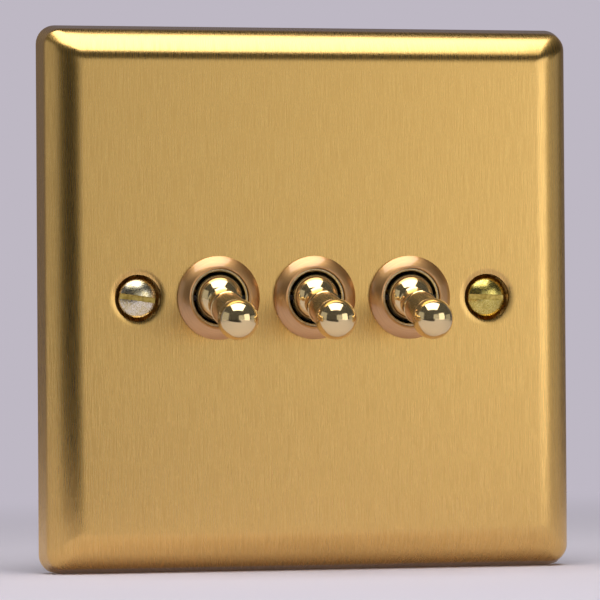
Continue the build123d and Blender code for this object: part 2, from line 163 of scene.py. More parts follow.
def add_object(name: str, data: bpy.types.ID) -> bpy.types.Object:
    """Returns a new object of the scene that holds the data."""
    made = bpy.data.objects.new(name, data)
    bpy.context.scene.collection.objects.link(made)
    return made


# Finishes

# Noise values that become 0 and 1, octaves of the patches, and how strong finer octaves are
GRAIN_SPAN = (0.32, 0.68)
PATCH_SPAN = (0.45, 0.72)
PATCH_DETAIL = 3.0
NOISE_ROUGHNESS = 0.55
# One length for all directions, or one for each
Size = float | tuple[float, float, float]


class Chart(Enum):
    """Coordinates that a pattern is drawn in."""

    OBJECT = "Object"
    SURFACE = "UV"


@dataclass(frozen=True)
class Finish:
    """A material with a fine grain and broad patches, both sized in millimetres."""

    name: str  # the material and how its surface was made
    colour: str  # sRGB hex of the clean surface
    shade: str  # sRGB hex in the hollows of the grain
    patch: str  # sRGB hex of the broad patches
    patch_share: float  # how strongly the patches show, from 0 to 1
    roughness: tuple[float, float]  # roughness on the crests and in the hollows of the grain
    grain: Size  # size of the grain, in mm, or its sizes along the chart's three directions
    patch_size: Size  # size or sizes of the patches, in mm
    relief: float  # height of the grain, in mm
    metallic: float = 1.0  # 1 for bare metal, 0 for plastics
    anisotropy: float = 0.0  # how far highlights are drawn out across the grain
    coat: float = 0.0  # share of the surface under clear lacquer
    coat_roughness: float = 0.12  # roughness of that lacquer
    detail: float = 2.0  # octaves of the grain noise
    chart: Chart = Chart.OBJECT  # coordinates that the pattern is drawn in

    def material(self) -> bpy.types.Material:
        """Makes the material on first use.

        Returns:
            The material.
        """
        found = bpy.data.materials.get(self.name)
        if found:
            return found
        made = bpy.data.materials.new(self.name)
        tree = bare_tree(made)
        place = add_node(tree, "TexCoord").outputs[self.chart.value]
        grain = self._noise(tree, place, self.grain, self.detail, GRAIN_SPAN)
        patches = self._noise(tree, place, self.patch_size, PATCH_DETAIL, PATCH_SPAN)
        share = add_node(tree, "Math", TIMES, {0: patches, 1: self.patch_share})
        # Mix nodes of colours take their factor at 0, their colours at 6 and 7, and give output 2
        ends = {6: linear(self.shade), 7: linear(self.colour)}
        streaked = add_node(tree, "Mix", COLOURS, {0: grain, **ends}).outputs[2]
        patched = {6: streaked, 7: linear(self.patch)}
        coloured = add_node(tree, "Mix", COLOURS, {0: share, **patched}).outputs[2]
        crest, hollow = self.roughness
        ends = {"To Min": hollow, "To Max": crest}
        gloss = add_node(tree, "MapRange", None, {"Value": grain, **ends})
        bump = {"Strength": 1.0, "Distance": self.relief * MM, "Height": grain}
        shader = add_node(
            tree,
            "BsdfPrincipled",
            inputs={
                "Base Color": coloured,
                "Metallic": self.metallic,
                "Roughness": gloss,
                "Normal": add_node(tree, "Bump", None, bump),
                "Coat Weight": self.coat,
                "Coat Roughness": self.coat_roughness,
            },
        )
        if self.anisotropy:
            across = add_node(tree, "Tangent", {"direction_type": "UV_MAP", "uv_map": "chart"})
            shader.inputs["Anisotropic"].default_value = self.anisotropy
            tree.links.new(across.outputs[0], shader.inputs["Tangent"])
        add_node(tree, "OutputMaterial", None, {"Surface": shader})
        return made

    def _noise(
        self,
        tree: bpy.types.NodeTree,
        place: bpy.types.NodeSocket,
        size: Size,
        octaves: float,
        span: tuple[float, float],
    ) -> bpy.types.Node:
        """Adds noise whose features have a given size.

        Args:
            tree: the material's node tree.
            place: coordinates in metres.
            size: feature size, in mm.
            octaves: detail of the noise.
            span: noise values that become 0 and 1.

        Returns:
            A node that gives 0 in the hollows and 1 on the crests.
        """
        lengths = size if isinstance(size, tuple) else (size, size, size)
        scale = [1 / (length * MM) for length in lengths]
        scaled = add_node(tree, "Mapping", None, {"Vector": place, "Scale": scale})
        look = {"Scale": 1.0, "Detail": octaves, "Roughness": NOISE_ROUGHNESS}
        noise = add_node(tree, "TexNoise", None, {"Vector": scaled, **look})
        ends = {"From Min": span[0], "From Max": span[1]}
        return add_node(tree, "MapRange", None, {"Value": noise, **ends})


# Lacquered brass, brushed upright: a soft sheen drawn out sideways and fine straight upright
# streaks. Real brush lines are finer than a pixel, so the streaks are drawn about twice as wide
BRUSHED_BRASS = Finish(
    "brushed_brass_upright_grain", "#E9BE6E", "#DCB061", "#DFB466", 0.25, (0.25, 0.31),
    (0.14, 5.5, 1.0), (0.5, 24.0, 1.0), 0.0005, anisotropy=0.7, coat=0.6, coat_roughness=0.18,
    chart=Chart.SURFACE,
)
# Brass turned and satin finished under a clear coppery lacquer: broad soft highlights with a crisp
# glint on top and faint tool rings
SATIN_BRASS = Finish(
    "satin_turned_brass_coppery_lacquer", "#D4A66E", "#C79760", "#BD8D57", 0.3, (0.38, 0.46),
    (6.0, 0.14, 1.0), (4.0, 1.6, 1.0), 0.0006, coat=1.0, coat_roughness=0.07, chart=Chart.SURFACE,
)
# Polished brass: a clear warm mirror with a faint haze of handling
POLISHED_BRASS = Finish(
    "polished_brass", "#FAE4B8", "#F5DCAC", "#EDD09C", 0.2, (0.03, 0.06), 0.5, 3.0, 0.0001
)
# Brass-plated screw head: bright, with blotches where the plating is thin
YELLOW_SCREW = Finish(
    "plated_screw_yellow", "#EAD983", "#BFA94E", "#A08A38", 0.5, (0.16, 0.34), 0.24, 1.3, 0.008,
    detail=3.0,
)
# The same screw with its plating rubbed pale
PALE_SCREW = Finish(
    "plated_screw_rubbed_pale", "#F4EEDC", "#CDBF97", "#C8B05E", 0.6, (0.16, 0.34), 0.24, 1.6,
    0.008, detail=3.0,
)
# Slot-bottom plating that nothing rubs, darkened with painted shade: a dull deep yellow
SLOT_PLATING_AND_SHADE = Finish(
    "plated_screw_slot_painted_shade", "#D9BF6C", "#B2964A", "#9A8038", 0.5, (0.3, 0.42), 0.4, 1.2, 0.004
)
# Dull nickel plate on brass, yellowed where it is thin: warm grey and slightly grainy
NICKEL = Finish(
    "dull_nickel_plate", "#E2D3AE", "#B7A67F", "#A08F69", 0.4, (0.28, 0.42), 0.25, 1.5, 0.004
)
# Zinc-plated steel strip: cool grey with a cloudy passivated bloom
ZINC_STEEL = Finish(
    "zinc_plated_steel", "#C9CCCE", "#AEB2B4", "#B7B48E", 0.35, (0.26, 0.40), 0.5, 5.0, 0.002
)
# Drawn spring wire: dark, oily steel
SPRING_STEEL = Finish(
    "drawn_spring_wire", "#8A8B8D", "#6E6F71", "#5D5A55", 0.4, (0.22, 0.34), 0.3, 1.0, 0.001
)
# Blackened steel pin: dark and a little oily, and painted near black to pass as the gap's shade
BLACK_STEEL_PAINTED_SHADE = Finish(
    "blackened_steel_pin_painted_shade", "#2E2B28", "#211F1D", "#3A352F", 0.4, (0.34, 0.46), 0.3, 1.0, 0.001
)
# Pressed terminal brass without lacquer: yellow, a little tarnished
TERMINAL_BRASS = Finish(
    "pressed_terminal_brass", "#D8B66C", "#C09A50", "#9C7440", 0.45, (0.24, 0.38), 0.35, 2.6, 0.003
)
# Silver alloy contact face: pale, with a grey sulphide bloom
CONTACT_SILVER = Finish(
    "silver_contact", "#DAD9D4", "#BDBCB7", "#8F8C86", 0.4, (0.20, 0.34), 0.3, 1.0, 0.002
)
# Moulded nylon: milky and slightly waxy
NYLON = Finish(
    "moulded_nylon", "#E2DFD2", "#D6D2C3", "#CFC8B4", 0.4, (0.38, 0.48), 0.4, 2.0, 0.002,
    metallic=0.0,
)
# Moulded phenolic: near black with a brown cast, dull skin with fine filler speckle
PHENOLIC = Finish(
    "moulded_phenolic", "#2A2624", "#201D1B", "#35302C", 0.5, (0.38, 0.52), 0.35, 4.0, 0.006,
    metallic=0.0,
)


# Surfaces


@dataclass
class Patch:
    """A grid of surface points, each with its place on the surface."""

    points: np.ndarray  # rows by columns by 3, in metres
    chart: np.ndarray  # rows by columns by 2, lengths along the surface in metres

    def quads(self, start: int) -> np.ndarray:
        """Lists the grid's four-sided faces.

        Args:
            start: number of the grid's first vertex.

        Returns:
            Faces by 4 vertex numbers.
        """
        rows, columns = self.points.shape[:2]
        corner = start + np.arange(rows * columns).reshape(rows, columns)
        sides = (corner[:-1, :-1], corner[1:, :-1], corner[1:, 1:], corner[:-1, 1:])
        return np.stack(sides, -1).reshape(-1, 4)


@dataclass
class Piece:
    """A finished mesh that rides on a body of the frame."""

    name: str  # the object's name
    body: str  # the CAD body that it moves with
    nodes: Sequence[str]  # the CAD nodes that it stands for
    slot: str  # the record's material slot
    finish: Finish  # its material
    crease: float = 28.0  # edges sharper than this stay crisp, in degrees

    def place(self, mesh: bpy.types.Mesh) -> bpy.types.Object:
        """Puts a mesh into the scene as this piece.

        Args:
            mesh: geometry in the frame, in metres.

        Returns:
            The new object.
        """
        mesh.shade_smooth()
        mesh.set_sharp_from_angle(angle=radians(self.crease))
        mesh.materials.clear()
        mesh.materials.append(self.finish.material())
        made = add_object(self.name, mesh)
        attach(made, self.body)
        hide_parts(*self.nodes)
        log.info("%s: %d faces on %s", self.name, len(mesh.polygons), self.body)
        return made

    def build(self, patches: Iterable[Patch]) -> bpy.types.Object:
        """Joins grids into one closed mesh and places it.

        Args:
            patches: grids whose edges meet.

        Returns:
            The new object.
        """
        grids = list(patches)
        counts = [grid.points.shape[0] * grid.points.shape[1] for grid in grids]
        starts = np.cumsum([0, *counts[:-1]])
        points = np.concatenate([grid.points.reshape(-1, 3) for grid in grids])
        chart = np.concatenate([grid.chart.reshape(-1, 2) for grid in grids])
        quads = np.concatenate([grid.quads(int(start)) for grid, start in zip(grids, starts)])
        mesh = bpy.data.meshes.new(self.name)
        mesh.from_pydata(points.tolist(), [], quads.tolist())
        corners = np.zeros(len(mesh.loops), np.int32)
        mesh.loops.foreach_get("vertex_index", corners)
        layer = mesh.uv_layers.new(name="chart")
        layer.data.foreach_set("uv", chart[corners].astype(np.float32).ravel())
        weld(mesh)
        return self.place(mesh)


def weld(mesh: bpy.types.Mesh, gap: float = 0.0005) -> None:
    """Merges points that coincide and turns every face outwards.

    Args:
        mesh: mesh that is changed in place.
        gap: largest distance between merged points, in mm.
    """
    work = bmesh.new()
    work.from_mesh(mesh)
    bmesh.ops.remove_doubles(work, verts=work.verts, dist=gap * MM)
    bmesh.ops.dissolve_degenerate(work, edges=work.edges, dist=gap * MM)
    bmesh.ops.recalc_face_normals(work, faces=work.faces)
    work.to_mesh(mesh)
    work.free()


def spread(*coordinates: Any) -> np.ndarray:
    """Returns points from their coordinates, each spread over the same grid."""
    return np.stack(np.broadcast_arrays(*coordinates), -1)


def facing(x: Any, y: Any, z: Any) -> Patch:
    """Returns a patch from coordinates in mm, with its own x and z as chart."""
    points = spread(x, y, z)
    return Patch(points * MM, points[..., [0, 2]] * MM)


def arc(centre: Sequence[float], radius: float, start: float, end: float, steps: int) -> np.ndarray:
    """Returns steps + 1 points: centre + radius (cos a, sin a), a from start to end in degrees."""
    angle = np.radians(np.linspace(start, end, steps + 1))
    return spread(centre[0] + radius * np.cos(angle), centre[1] + radius * np.sin(angle))


def arc_through(
    first: Sequence[float], middle: Sequence[float], last: Sequence[float], steps: int
) -> np.ndarray:
    """Points of the arc through three points.

    The centre is where the bisectors of the two chords meet.

    Args:
        first: start of the arc.
        middle: a point on it.
        last: end of the arc.
        steps: number of chords.

    Returns:
        Array of points, steps + 1 by 2.
    """
    a, b, c = (np.array(p, float) for p in (first, middle, last))
    normals = 2 * np.array([b - a, c - b])
    centre = np.linalg.solve(normals, np.array([b @ b - a @ a, c @ c - b @ b]))
    radius = float(np.linalg.norm(a - centre))
    start, mid, end = (degrees(atan2(*(p - centre)[::-1])) for p in (a, b, c))
    turn = (end - start) % 360
    if (mid - start) % 360 > turn:
        turn -= 360
    return arc(centre, radius, start, start + turn, steps)


def turned(runs: Sequence[Any]) -> Patch:
    """Surface of revolution about Y: (r cos a, y, r sin a) for each profile point and a full turn.

    Args:
        runs: the profile in runs of points (radius, depth), in mm.

    Returns:
        The patch, whose chart is the length round the widest radius and along the profile.
    """
    profile = np.concatenate(runs)
    angle = np.linspace(0, 2 * pi, AROUND + 1)
    radius, depth = profile[:, 0:1], profile[:, 1:2]
    points = spread(radius * np.cos(angle), depth, radius * np.sin(angle))
    length = np.concatenate([[0.0], np.cumsum(np.linalg.norm(np.diff(profile, axis=0), axis=1))])
    chart = spread(angle * radius.max(), length[:, None])
    return Patch(points * MM, chart * MM)


def coiled(radius: float, wire: float, start: float, height: float, turns: int) -> Patch:
    """Round wire on a helix about Y: (R cos a, y + h a / all turns, R sin a) and a circle round it.

    The circle lies in the directions out from the axis and square to both that and the wire. Each
    end closes to a point.

    Args:
        radius: radius of the coil at the wire's middle, in mm.
        wire: radius of the wire, in mm.
        start: depth of the first turn, in mm.
        height: rise of the wire's middle over all turns, in mm.
        turns: number of turns.

    Returns:
        The patch, whose chart is the length along and round the wire.
    """
    angle = np.linspace(0, 2 * pi * turns, TURN_STEPS * turns + 1)
    rise = height / (2 * pi * turns)
    out = spread(np.cos(angle), 0.0, np.sin(angle))
    along = spread(-radius * out[:, 2], rise, radius * out[:, 0])
    side = np.cross(along / hypot(radius, rise), out)
    centre = radius * out + spread(0.0, start + rise * angle, 0.0)
    around = np.linspace(0, 2 * pi, WIRE_STEPS + 1)[None, :, None]
    ring = wire * (out[:, None] * np.cos(around) + side[:, None] * np.sin(around))
    caps = [np.repeat(centre[None, None, i], WIRE_STEPS + 1, 1) for i in (0, -1)]
    points = np.concatenate([caps[0], centre[:, None] + ring, caps[1]])
    length = np.concatenate([angle[:1], angle, angle[-1:]])[:, None] * hypot(radius, rise)
    chart = spread(length, wire * around[..., 0])
    return Patch(points * MM, chart * MM)


def moved(patch: Patch, place: Matrix) -> Patch:
    """Returns a patch carried by a matrix in metres."""
    turn = np.array(place.to_3x3())
    return Patch(patch.points @ turn.T + np.array(place.translation), patch.chart)


def extents(node: str) -> tuple[float, float, float]:
    """Returns a CAD node's half width and the depths of its front and back, in mm."""
    low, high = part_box(node)
    return (high.x - low.x) / 2 / MM, low.y / MM, high.y / MM


def gang_x(gang: str) -> float:
    """Returns the place of a gang's axis across the plate, in mm."""
    low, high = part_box(f"collar_{gang}")
    return (low.x + high.x) / 2 / MM


def screw_x() -> float:
    """Returns the distance of the fixing screws' axes from the middle, in mm."""
    return extents("fixing_screws")[0] - SCREW_HEAD


# Sub-assemblies


@dataclass
class FrontPlate:
    """Pressed square plate: flat face, rolled edge, three bush holes and two screw dimples."""

    sheet: float = 1.0  # thickness of the brass
    face_roll: float = 6.0  # radius of the roll next to the face
    side_roll: float = 8.5  # radius of the flatter roll outside it
    shoulder_roll: float = 2.5  # radius where the roll turns into the rim
    face_turn: float = 28.0  # slope at the end of the first roll, in degrees
    side_turn: float = 55.0  # slope at the end of the second roll, in degrees
    rim_turn: float = 78.0  # slope of the straight rim, in degrees
    face_corner: float = 0.8  # corner radius at the edge of the flat face
    rim_corner: float = 3.2  # corner radius at the rim
    bush_hole: float = 5.0  # radius of the holes for the bushes
    dimple_mouth: float = 5.0  # radius where the dimple's dish leaves the face
    dish_roll: float = 3.1  # radius of the dish's curve
    dish_turn: float = 20.0  # slope at the dish's inner edge, in degrees
    dimple_wall: float = 3.88  # radius at the foot of the steep wall round the screw's head
    dimple_step: float = 0.75  # depth of that foot, where a 45 degree cone begins
    dimple_ledge: float = 2.95  # radius where the cone meets the ledge under the head
    dimple_seat: float = 3.82  # radius where the head's own cone would meet the face
    dimple_back: float = 0.6  # radius of the roll behind the dish
    dimple_hole: float = 2.05  # radius of the hole below the seat
    dimple_foot: float = 0.5  # height of that hole's wall
    tile: float = 8.25  # half height of the squares that the holes are cut from
    inner_corner: float = 0.3  # smallest corner radius on the inside of the edge
    tile_steps: int = 16  # faces along a tile's side
    half: float = field(init=False)  # half width of the CAD plate
    face_y: float = field(init=False)  # depth of the CAD plate's face

    def __post_init__(self) -> None:
        """Takes the outer sizes from the CAD plate."""
        self.half, self.face_y, _ = extents("front_plate")

    def slope_profile(self) -> tuple[np.ndarray, np.ndarray, np.ndarray]:
        """Outer profile of the rolled edge, from the face to the rim.

        Each roll of radius R turns the slope n between two angles, over R (sin n2 - sin n1)
        sideways and R (cos n1 - cos n2) in depth; the straight rim takes the rest of the depth.

        Returns:
            Distance from the plate's middle, depth, and slope in radians at each point.
        """
        turns = np.radians([0, self.face_turn, self.side_turn, self.rim_turn])
        radii = (self.face_roll, self.side_roll, self.shoulder_roll)
        chords = (14, 12, 8)
        across, depth, slope = [np.zeros(1)], [np.zeros(1)], [np.zeros(1)]
        for radius, first, last, steps in zip(radii, turns[:-1], turns[1:], chords):
            angle = np.linspace(first, last, steps + 1)[1:]
            across.append(across[-1][-1] + radius * (np.sin(angle) - sin(first)))
            depth.append(depth[-1][-1] + radius * (cos(first) - np.cos(angle)))
            slope.append(angle)
        rim = -self.face_y - depth[-1][-1]
        down = np.linspace(0, 1, num=5)[1:]
        across.append(across[-1][-1] + down * rim / tan(turns[-1]))
        depth.append(depth[-1][-1] + down * rim)
        slope.append(np.full_like(down, turns[-1]))
        run, fall = np.concatenate(across), np.concatenate(depth)
        return self.half - run[-1] + run, self.face_y + fall, np.concatenate(slope)

    def edge_patch(self, reach: np.ndarray, depth: np.ndarray, corner: np.ndarray) -> Patch:
        """Carries a profile round a square whose corners are arcs.

        Args:
            reach: half width of the square at each profile point.
            depth: depth of each point.
            corner: corner radius at each point.

        Returns:
            The patch; its chart is the face's own x and z, stretched to the length of the profile.
        """
        straight = (reach - corner)[:, None]
        wide = straight * self.lines_x() / self.flat
        tall = straight * self.lines_z() / self.flat
        turn = arc((0, 0), 1.0, 90, 0, steps=8)[1:-1]
        bow, out = corner[:, None], reach[:, None]
        corner_x, corner_z = (straight + bow * side for side in turn.T)
        # The top, the right side and the corners after them; the rest is the same half a turn on
        half_x = np.concatenate([wide, corner_x, out + 0 * tall, corner_x[:, ::-1]], 1)
        half_z = np.concatenate([out + 0 * wide, corner_z, tall[:, ::-1], -corner_z[:, ::-1]], 1)
        loop_x = np.concatenate([half_x, -half_x, half_x[:, :1]], 1)
        loop_z = np.concatenate([half_z, -half_z, half_z[:, :1]], 1)
        steps = np.hypot(np.diff(reach), np.diff(depth))
        length = self.flat + np.concatenate([[0.0], np.cumsum(steps)])
        stretch = (length / reach)[:, None]
        points = spread(loop_x, depth[:, None], loop_z)
        return Patch(points * MM, spread(loop_x * stretch, loop_z * stretch) * MM)

    @property
    def flat(self) -> float:
        """Half width of the flat face."""
        return float(self.slope_profile()[0][0])

    def holes(self) -> list[tuple[float, float, float]]:
        """Lists the holes from left to right.

        Returns:
            Each hole's centre, its radius and the half width of its tile.
        """
        bushes = [gang_x(gang) for gang in GANGS]
        screw = screw_x()
        pitch = bushes[1] - bushes[0]
        side = screw - (bushes[2] + pitch / 2)
        tiles = [(x, self.bush_hole, pitch / 2) for x in bushes]
        return [(-screw, self.dimple_mouth, side), *tiles, (screw, self.dimple_mouth, side)]

    def tile_lines(self, half: float, middle: float = 0.0) -> np.ndarray:
        """Places along a tile's side."""
        return np.linspace(middle - half, middle + half, self.tile_steps + 1)

    def outer_lines(self) -> np.ndarray:
        """Places up the face from the tiles to its edge."""
        return np.linspace(self.tile, self.flat, num=7)

    def lines_x(self) -> np.ndarray:
        """Places across the face where the tiles have points."""
        spans = [self.tile_lines(half, x)[:-1] for x, _, half in self.holes()]
        x, _, half = self.holes()[-1]
        return np.concatenate([[-self.flat], *spans, [x + half, self.flat]])

    def lines_z(self) -> np.ndarray:
        """Places up the face where the tiles have points."""
        outer = self.outer_lines()
        return np.concatenate([-outer[::-1], self.tile_lines(self.tile)[1:-1], outer])

    def tile_ring(self, half: float) -> np.ndarray:
        """Points round a tile's edge, once round and back to the first."""
        top = spread(self.tile_lines(half), self.tile)[:-1]
        right = spread(half, self.tile_lines(self.tile)[::-1])[:-1]
        return np.concatenate([top, right, -top, -right, top[:1]])

    def tile_patch(self, x: float, radius: float, half: float, y: float) -> Patch:
        """Square with a round hole: points go straight from the circle to the square's edge.

        Args:
            x: the hole's centre.
            radius: its radius.
            half: half width of the square.
            y: depth of the square.

        Returns:
            The patch.
        """
        edge = self.tile_ring(half)
        circle = radius * edge / np.linalg.norm(edge, axis=1, keepdims=True)
        rows = np.array([0, 0.12, 0.4, 1.0])[:, None, None]
        flat = circle + rows * (edge - circle)
        return facing(x + flat[..., 0], y, flat[..., 1])

    def ring_patch(self, x: float, half: float, profile: np.ndarray) -> Patch:
        """Profile turned about a hole, with its points in line with its tile's.

        Args:
            x: the hole's centre.
            half: half width of its tile.
            profile: points (radius, depth).

        Returns:
            The patch.
        """
        edge = self.tile_ring(half)
        unit = edge / np.linalg.norm(edge, axis=1, keepdims=True)
        radius, depth = profile[:, 0:1], profile[:, 1:2]
        return facing(x + radius * unit[:, 0], depth, radius * unit[:, 1])

    def dimple_profile(self) -> np.ndarray:
        """Section of a pressed dimple: shallow dish, steep wall, cone, ledge, hole and back.

        Returns:
            Points (radius, depth) from the face to the back.
        """
        top = self.face_y
        dish = (self.dimple_mouth, top + self.dish_roll)
        front = arc(dish, self.dish_roll, 270, 270 - self.dish_turn, steps=8)
        step_y = top + self.dimple_step
        ledge_y = step_y + self.dimple_wall - self.dimple_ledge
        throat_y = top + self.dimple_seat - self.dimple_hole
        foot_y = throat_y + self.dimple_foot
        roll = (self.dimple_mouth, top + self.sheet + self.dimple_back)
        behind = arc(roll, self.dimple_back, 225, 270, steps=8)
        inside = [
            (self.dimple_wall, step_y),
            (self.dimple_ledge, ledge_y),
            (self.dimple_hole, throat_y),
            (self.dimple_hole, foot_y),
            (behind[0, 0] - (foot_y - behind[0, 1]), foot_y),
        ]
        return np.concatenate([front, inside, behind])

    def build(self) -> None:
        """Builds the closed plate from its edge, face, back, holes and dimples."""
        reach, depth, slope = self.slope_profile()
        run = (reach - reach[0]) / (reach[-1] - reach[0])
        corner = self.face_corner + (self.rim_corner - self.face_corner) * run
        corner[0] = 0.0
        in_reach = reach - self.sheet * np.sin(slope)
        in_depth = np.minimum(depth + self.sheet * np.cos(slope), 0.0)
        in_reach[-1] = reach[-1] - self.sheet / sin(slope[-1])
        in_corner = np.maximum(corner - self.sheet / 2, self.inner_corner)
        in_corner[0] = 0.0
        outside, inside = (reach, depth, corner), (in_reach, in_depth, in_corner)
        rim = [np.array([a[-1], b[-1]]) for a, b in zip(outside, inside)]
        patches = [self.edge_patch(*sides) for sides in (outside, inside, rim)]
        back_y = self.face_y + self.sheet
        beyond = self.outer_lines()
        end = self.lines_x()[-2:]
        between = self.tile_lines(self.tile)
        for y in (self.face_y, back_y):
            for x in (end, -end[::-1]):
                patches.append(facing(x, y, between[:, None]))
            for z in (beyond, -beyond[::-1]):
                patches.append(facing(self.lines_x(), y, z[:, None]))
            patches += [self.tile_patch(x, radius, half, y) for x, radius, half in self.holes()]
        wall = np.array([[self.bush_hole, self.face_y], [self.bush_hole, back_y]])
        dimple = self.dimple_profile()
        for section, (x, _, half) in zip([dimple, wall, wall, wall, dimple], self.holes()):
            patches.append(self.ring_patch(x, half, section))
        piece = Piece("brass_plate", "switch_body", ["front_plate"], "brushed_brass", BRUSHED_BRASS)
        piece.build(patches)


@dataclass
class FixingScrew:
    """Raised countersunk screw with a straight slot and a threaded shank."""

    side: int  # -1 for the left screw, 1 for the right one
    slot_turn: float  # how far the slot falls to the right, in degrees
    finish: Finish  # its plating
    slot_finish_and_shade: Finish  # its plating in the slot, darkened with painted shade
    head: float = SCREW_HEAD  # radius of the head
    dome: float = 1.25  # height of the raised head
    sink: float = 0.6  # depth of the head's rim below the plate's face
    slot: float = 0.9  # width of the slot
    slot_depth: float = 1.4  # its depth from the crown
    neck: float = 1.55  # radius of the plain neck
    thread: float = 1.75  # outer radius of the thread
    pitch: float = 0.6  # pitch of the thread
    plain: float = 6.0  # length down to the thread
    length: float = 25.0  # length below the head's rim
    root: float = 0.2  # depth of the thread's root inside the neck
    thread_rows: int = 6  # rows of points in a pitch
    land_points: int = 15  # places across the head on each side of the slot
    # Share of the slot's width, each side of its middle, with plating and painted shade
    slot_share: float = 0.49

    def across(self) -> np.ndarray:
        """Places across the slot, doubled at its walls."""
        half = self.slot / 2
        outer = self.head * np.sin(np.linspace(asin(half / self.head), pi / 2, self.land_points))
        return np.concatenate([-outer[::-1], np.linspace(-half, half, num=7), outer])

    def head_patch(self, rim_y: float) -> Patch:
        """Domed head cut by a slot.

        A point is (u w(v), v): v runs across the slot, w is half the chord there, and u runs from
        -1 to 1 along it. Its depth is the dome's, or the slot's floor between the walls.

        Args:
            rim_y: depth of the head's rim.

        Returns:
            The patch in the screw's own frame, slot along X.
        """
        v = self.across()
        in_slot = np.zeros(len(v), bool)
        in_slot[self.land_points : -self.land_points] = True
        ball = (self.head**2 + self.dome**2) / (2 * self.dome)
        crown = rim_y - self.dome
        floor = crown + self.slot_depth
        edge = np.where(in_slot, self.head - (floor - rim_y), self.head)
        w = np.sqrt(np.maximum(edge**2 - v**2, 0.0))
        u = np.sin(np.linspace(-pi / 2, pi / 2, num=31))
        x = u[None, :] * w[:, None]
        dome = crown + ball - np.sqrt(ball**2 - x**2 - v[:, None] ** 2)
        return facing(x, np.where(in_slot[:, None], floor, dome), v[:, None])

    def shank_patch(self, head: Patch, rim_y: float) -> Patch:
        """Countersink, neck and thread carried down from the head's own edge.

        The thread's radius is the neck's plus a triangle wave of depth over pitch less the turn.

        Args:
            head: the head patch, whose outer columns are the edge.
            rim_y: depth of the head's rim.

        Returns:
            The patch in the screw's own frame.
        """
        rim = np.concatenate([head.points[:, -1], head.points[::-1, 0], head.points[:1, -1]]) / MM
        angle = np.unwrap(np.arctan2(rim[:, 2], rim[:, 0]))
        start = rim_y + self.plain
        tip = rim_y + self.length
        rows = np.linspace(start, tip, int((tip - start) / self.pitch * self.thread_rows))
        wave = np.abs(((rows[:, None] / self.pitch - angle[None, :] / (2 * pi)) % 1.0) * 2 - 1)
        run_in = np.clip((rows - start) / (2 * self.pitch), 0, 1)
        run_out = np.clip((tip - rows) / self.pitch, 0, 1)
        ridge = (self.thread - self.neck + self.root) * wave - self.root
        threaded = self.neck + ridge * (run_in * run_out)[:, None]
        neck_y = rim_y + self.head - self.neck
        plain = np.full((2, len(angle)), self.neck)
        radius = np.concatenate([plain, threaded, 0 * threaded[:1]])
        depth = np.concatenate([[neck_y, (neck_y + start) / 2], rows, [tip]])[:, None]
        body = spread(radius * np.cos(angle), depth, radius * np.sin(angle))
        points = np.concatenate([rim[None], body])
        return Patch(points * MM, points[..., :2] * MM)

    def build(self) -> None:
        """Builds the screw at its place in the plate."""
        rim_y = extents("front_plate")[1] + self.sink
        turn = Matrix.Rotation(radians(self.slot_turn), 4, "Y")
        place = Matrix.Translation((screw_x() * self.side * MM, 0, 0)) @ turn
        head = self.head_patch(rim_y)
        shank = self.shank_patch(head, rim_y)
        name = "fixing_screw_left" if self.side < 0 else "fixing_screw_right"
        piece = Piece(name, "switch_body", ["fixing_screws"], "screw_brass", self.finish)
        made = piece.build([moved(head, place), moved(shank, place)])
        self.plate_and_shade_slot(made, place, rim_y)

    def plate_and_shade_slot(self, made: bpy.types.Object, place: Matrix, rim_y: float) -> None:
        """Gives the slot's faces their own plating, darkened with painted shade.

        Args:
            made: the screw.
            place: its place in the frame.
            rim_y: depth of the head's rim.
        """
        faces = made.data.polygons
        centres = np.zeros(len(faces) * 3, np.float32)
        faces.foreach_get("center", centres)
        inverse = place.inverted()
        own = centres.reshape(-1, 3) @ np.array(inverse.to_3x3()).T + np.array(inverse.translation)
        near = np.abs(own[:, 2]) < self.slot_share * self.slot * MM
        in_slot = near & (own[:, 1] < (rim_y + self.slot_depth) * MM)
        made.data.materials.append(self.slot_finish_and_shade.material())
        faces.foreach_set("material_index", in_slot.astype(np.int32))


